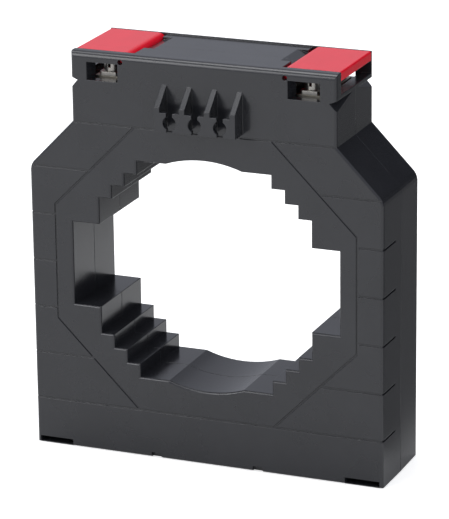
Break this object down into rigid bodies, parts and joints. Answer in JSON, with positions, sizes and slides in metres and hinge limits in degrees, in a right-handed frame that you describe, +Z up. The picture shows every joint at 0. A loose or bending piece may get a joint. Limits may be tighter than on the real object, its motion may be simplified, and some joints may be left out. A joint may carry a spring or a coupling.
{
  "type": "current transformer",
  "caption": "Busbar current transformer: a flat moulded case with a stepped window for flat bars or a round conductor, and screw terminals under hinged covers.",
  "frame": {"origin": "middle of the flat base, on the plane where the two halves of the case meet", "axes": "+X across the window's width, +Y from the front face (with the rack) to the back face along the primary conductor, +Z up to the terminal head"},
  "size_m": [0.135, 0.0434, 0.1494],
  "materials": {
    "case_plastic": "fine moulded texture, dark grey",
    "cover_plastic": "satin moulded, red",
    "core_steel": "wound silicon steel strip",
    "cap_plastic": "moulded, natural white",
    "winding_wire": "enamelled copper wire",
    "tape": "polyester tape",
    "pressboard": "pressed board",
    "lead_insulation": "insulated stranded lead with a tinned end",
    "nickel_brass": "nickel-plated brass",
    "nickel_steel": "nickel-plated steel"
  },
  "bodies": {
    "case": {"front_shell": "case_plastic", "rear_shell": "case_plastic", "core": "core_steel", "core_cap_front": "cap_plastic", "core_cap_rear": "cap_plastic", "secondary_winding": "winding_wire", "winding_tape": "tape", "board_ring_front": "pressboard", "board_ring_rear": "pressboard", "lead_left": "lead_insulation", "lead_right": "lead_insulation", "terminal_strip_left": "nickel_brass", "terminal_strip_right": "nickel_brass"},
    "cover_left": {"cover_left": "cover_plastic"},
    "cover_right": {"cover_right": "cover_plastic"},
    "plate_left_front": {"clamp_plate_left_front": "nickel_steel"},
    "plate_left_rear": {"clamp_plate_left_rear": "nickel_steel"},
    "plate_right_front": {"clamp_plate_right_front": "nickel_steel"},
    "plate_right_rear": {"clamp_plate_right_rear": "nickel_steel"},
    "screw_left_front": {"clamp_screw_left_front": "nickel_steel"},
    "screw_left_rear": {"clamp_screw_left_rear": "nickel_steel"},
    "screw_right_front": {"clamp_screw_right_front": "nickel_steel"},
    "screw_right_rear": {"clamp_screw_right_rear": "nickel_steel"}
  },
  "joints": [
    {"name": "cover_left_hinge", "type": "hinge", "parent": "case", "child": "cover_left", "pos_m": [-0.031, 0, 0.14668], "axis": [0, 1, 0], "range_deg": [0, 95]},
    {"name": "cover_right_hinge", "type": "hinge", "parent": "case", "child": "cover_right", "pos_m": [0.031, 0, 0.14668], "axis": [0, -1, 0], "range_deg": [0, 95]},
    {"name": "plate_left_front_lift", "type": "slide", "parent": "case", "child": "plate_left_front", "axis": [0, 0, 1], "range_m": [0, 0.003]},
    {"name": "screw_left_front_turn", "type": "hinge", "parent": "plate_left_front", "child": "screw_left_front", "pos_m": [-0.038, -0.0086, 0.14128], "axis": [0, 0, 1], "range_deg": [0, 1545]},
    {"name": "plate_left_rear_lift", "type": "slide", "parent": "case", "child": "plate_left_rear", "axis": [0, 0, 1], "range_m": [0, 0.003]},
    {"name": "screw_left_rear_turn", "type": "hinge", "parent": "plate_left_rear", "child": "screw_left_rear", "pos_m": [-0.038, 0.0115, 0.14128], "axis": [0, 0, 1], "range_deg": [0, 1545]},
    {"name": "plate_right_front_lift", "type": "slide", "parent": "case", "child": "plate_right_front", "axis": [0, 0, 1], "range_m": [0, 0.003]},
    {"name": "screw_right_front_turn", "type": "hinge", "parent": "plate_right_front", "child": "screw_right_front", "pos_m": [0.038, -0.0086, 0.14128], "axis": [0, 0, 1], "range_deg": [0, 1545]},
    {"name": "plate_right_rear_lift", "type": "slide", "parent": "case", "child": "plate_right_rear", "axis": [0, 0, 1], "range_m": [0, 0.003]},
    {"name": "screw_right_rear_turn", "type": "hinge", "parent": "plate_right_rear", "child": "screw_right_rear", "pos_m": [0.038, 0.0115, 0.14128], "axis": [0, 0, 1], "range_deg": [0, 1545]}
  ],
  "couplings": [
    {"joint": "screw_left_front_turn", "follows": "plate_left_front_lift", "rad_per_m": 8976},
    {"joint": "screw_left_rear_turn", "follows": "plate_left_rear_lift", "rad_per_m": 8976},
    {"joint": "screw_right_front_turn", "follows": "plate_right_front_lift", "rad_per_m": 8976},
    {"joint": "screw_right_rear_turn", "follows": "plate_right_rear_lift", "rad_per_m": 8976}
  ]
}
